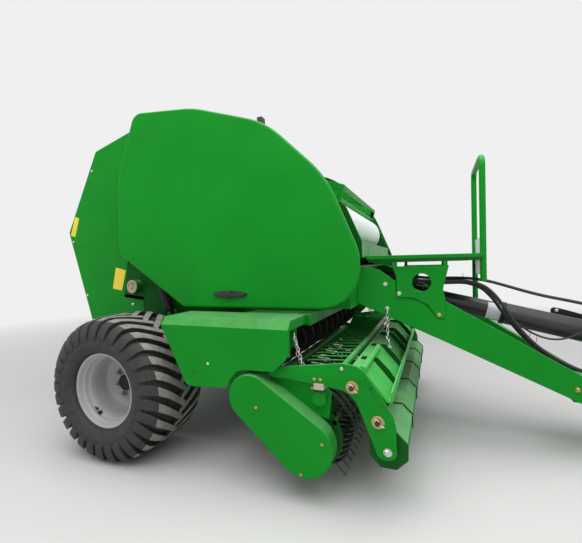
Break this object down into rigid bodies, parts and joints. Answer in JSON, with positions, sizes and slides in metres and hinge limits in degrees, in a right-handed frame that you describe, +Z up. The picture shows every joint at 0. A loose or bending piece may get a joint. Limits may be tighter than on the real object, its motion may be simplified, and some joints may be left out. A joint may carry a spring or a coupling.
{
  "type": "round baler",
  "caption": "Towed round baler: hollow bale chamber with lifting tailgate, side panels, tined pickup, drawbar with drive shaft, platform and parking jack on two wide tyres.",
  "frame": {"origin": "on the ground under the middle of the machine's length", "axes": "+X to the hitch, +Y to the machine's left, +Z up"},
  "size_m": [4.388, 2.46, 2.352],
  "materials": {
    "green_paint": "glossy enamel",
    "dark_steel": "dull",
    "black_paint": "satin",
    "black_rubber": "matt",
    "tyre_rubber": "matt",
    "silver_paint": "satin",
    "chrome_rod": "polished",
    "black_plastic": "matt",
    "white_film": "satin",
    "pale_plate": "satin",
    "zinc_fitting": "zinc plated"
  },
  "bodies": {
    "root": {"chassis": "green_paint", "axle": "black_paint", "chamber_front": "green_paint", "hinge_pin": "dark_steel", "chamber_rollers": "dark_steel", "panel_hinges_right": "green_paint", "panel_hinges_left": "green_paint", "side_box_right": "green_paint", "side_box_left": "green_paint", "drawbar": "green_paint", "platform_brackets": "green_paint", "hitch_tongue": "green_paint", "platform_deck": "green_paint", "guard_rail": "green_paint", "rail_plate": "pale_plate", "net_tray": "green_paint", "net_rollers": "dark_steel", "net_roll": "white_film", "gearbox": "green_paint", "shaft_guard": "black_plastic", "shaft_stand": "green_paint", "jack_tube": "green_paint", "hose_upper": "black_rubber", "hose_outer": "black_rubber", "hose_inner": "black_rubber", "hose_thin": "black_rubber", "hose_fittings": "zinc_fitting", "hose_couplings": "zinc_fitting", "hose_holder": "black_paint"},
    "tailgate": {"tailgate": "green_paint", "tailgate_rollers": "dark_steel"},
    "panel_right": {"side_panel_right": "green_paint", "panel_latch_right": "black_plastic"},
    "panel_left": {"side_panel_left": "green_paint", "panel_latch_left": "black_plastic"},
    "wheel_right": {"tyre_right": "tyre_rubber", "rim_right": "silver_paint", "hub_right": "black_paint"},
    "wheel_left": {"tyre_left": "tyre_rubber", "rim_left": "silver_paint", "hub_left": "black_paint"},
    "barrel_right": {"cylinder_barrel_right": "black_paint"},
    "barrel_left": {"cylinder_barrel_left": "black_paint"},
    "rod_right": {"cylinder_rod_right": "chrome_rod"},
    "rod_left": {"cylinder_rod_left": "chrome_rod"},
    "feed_rotor": {"feed_rotor": "dark_steel"},
    "pickup": {"pickup_frame": "green_paint", "pickup_arms": "green_paint", "chain_case": "green_paint", "pickup_hood": "green_paint", "strippers": "dark_steel"},
    "reel": {"pickup_reel": "dark_steel"},
    "crop_roller": {"crop_roller": "green_paint"},
    "windguard": {"windguard": "green_paint"},
    "net_frame": {"net_frame": "green_paint"},
    "drive_shaft": {"drive_shaft": "dark_steel"},
    "jack": {"jack_leg": "dark_steel"}
  },
  "joints": [
    {"name": "wheel_right_spin", "type": "hinge", "parent": "root", "child": "wheel_right", "pos_m": [-1.198, -0.98, 0.458], "axis": [0, 1, 0], "continuous": true},
    {"name": "wheel_left_spin", "type": "hinge", "parent": "root", "child": "wheel_left", "pos_m": [-1.198, 0.98, 0.458], "axis": [0, 1, 0], "continuous": true},
    {"name": "tailgate_lift", "type": "hinge", "parent": "root", "child": "tailgate", "pos_m": [-1.318, 0, 2.262], "axis": [0, 1, 0], "range_deg": [0, 62]},
    {"name": "barrel_swing_right", "type": "hinge", "parent": "root", "child": "barrel_right", "pos_m": [-1.078, -0.69, 0.88], "axis": [0, 1, 0], "range_deg": [-4.35, 0]},
    {"name": "rod_slide_right", "type": "slide", "parent": "barrel_right", "child": "rod_right", "axis": [-0.3162, 0, 0.9487], "range_m": [0, 0.32106]},
    {"name": "panel_lift_right", "type": "hinge", "parent": "root", "child": "panel_right", "pos_m": [-0.798, -0.81, 2.17], "axis": [-1, 0, 0], "range_deg": [0, 75]},
    {"name": "barrel_swing_left", "type": "hinge", "parent": "root", "child": "barrel_left", "pos_m": [-1.078, 0.69, 0.88], "axis": [0, 1, 0], "range_deg": [-4.35, 0]},
    {"name": "rod_slide_left", "type": "slide", "parent": "barrel_left", "child": "rod_left", "axis": [-0.3162, 0, 0.9487], "range_m": [0, 0.32106]},
    {"name": "panel_lift_left", "type": "hinge", "parent": "root", "child": "panel_left", "pos_m": [-0.798, 0.81, 2.17], "axis": [1, 0, 0], "range_deg": [0, 75]},
    {"name": "pickup_lift", "type": "hinge", "parent": "root", "child": "pickup", "pos_m": [-0.188, 0, 0.512], "axis": [0, -1, 0], "range_deg": [0, 18]},
    {"name": "reel_spin", "type": "hinge", "parent": "pickup", "child": "reel", "pos_m": [0.113, 0, 0.293], "axis": [0, 1, 0], "continuous": true},
    {"name": "crop_roller_spin", "type": "hinge", "parent": "pickup", "child": "crop_roller", "pos_m": [0.52, 0, 0.324], "axis": [0, 1, 0], "continuous": true},
    {"name": "windguard_swing", "type": "hinge", "parent": "pickup", "child": "windguard", "pos_m": [0.307, 0, 0.702], "axis": [0, 1, 0], "range_deg": [0, 15]},
    {"name": "feed_rotor_spin", "type": "hinge", "parent": "root", "child": "feed_rotor", "pos_m": [-0.188, 0, 0.725], "axis": [0, 1, 0], "continuous": true},
    {"name": "net_frame_lift", "type": "hinge", "parent": "root", "child": "net_frame", "pos_m": [-0.086, 0, 1.79], "axis": [0, -1, 0], "range_deg": [0, 75]},
    {"name": "drive_shaft_spin", "type": "hinge", "parent": "root", "child": "drive_shaft", "pos_m": [1.202, 0, 0.84506], "axis": [0.9746, 0, -0.2238], "continuous": true},
    {"name": "jack_slide", "type": "slide", "parent": "root", "child": "jack", "axis": [0, 0, 1], "range_m": [0, 0.24]}
  ],
  "couplings": [
    {"joint": "barrel_swing_right", "follows": "tailgate_lift", "ratio": -0.068715},
    {"joint": "rod_slide_right", "follows": "tailgate_lift", "m_per_rad": 0.2964},
    {"joint": "barrel_swing_left", "follows": "tailgate_lift", "ratio": -0.068715},
    {"joint": "rod_slide_left", "follows": "tailgate_lift", "m_per_rad": 0.2964}
  ]
}
